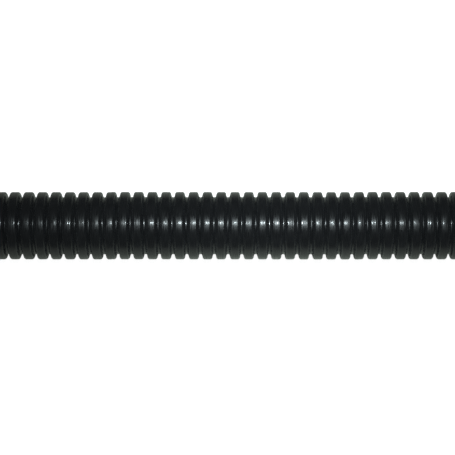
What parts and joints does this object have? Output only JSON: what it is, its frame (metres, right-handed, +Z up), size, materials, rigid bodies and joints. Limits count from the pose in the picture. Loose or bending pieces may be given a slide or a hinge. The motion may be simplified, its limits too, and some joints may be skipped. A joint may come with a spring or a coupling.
{
  "type": "corrugated conduit",
  "caption": "Straight length of thin walled black plastic conduit with ring shaped ribs, open at both ends.",
  "frame": {"origin": "on the floor, under the middle of the tube as it lies", "axes": "+X along the tube, +Y across it, +Z up; the tube's axis lies 10.6 mm above the floor"},
  "size_m": [1.0018, 0.0212, 0.0212],
  "materials": {
    "black_plastic": "satin"
  },
  "bodies": {
    "root": {"conduit": "black_plastic"}
  },
  "joints": []
}
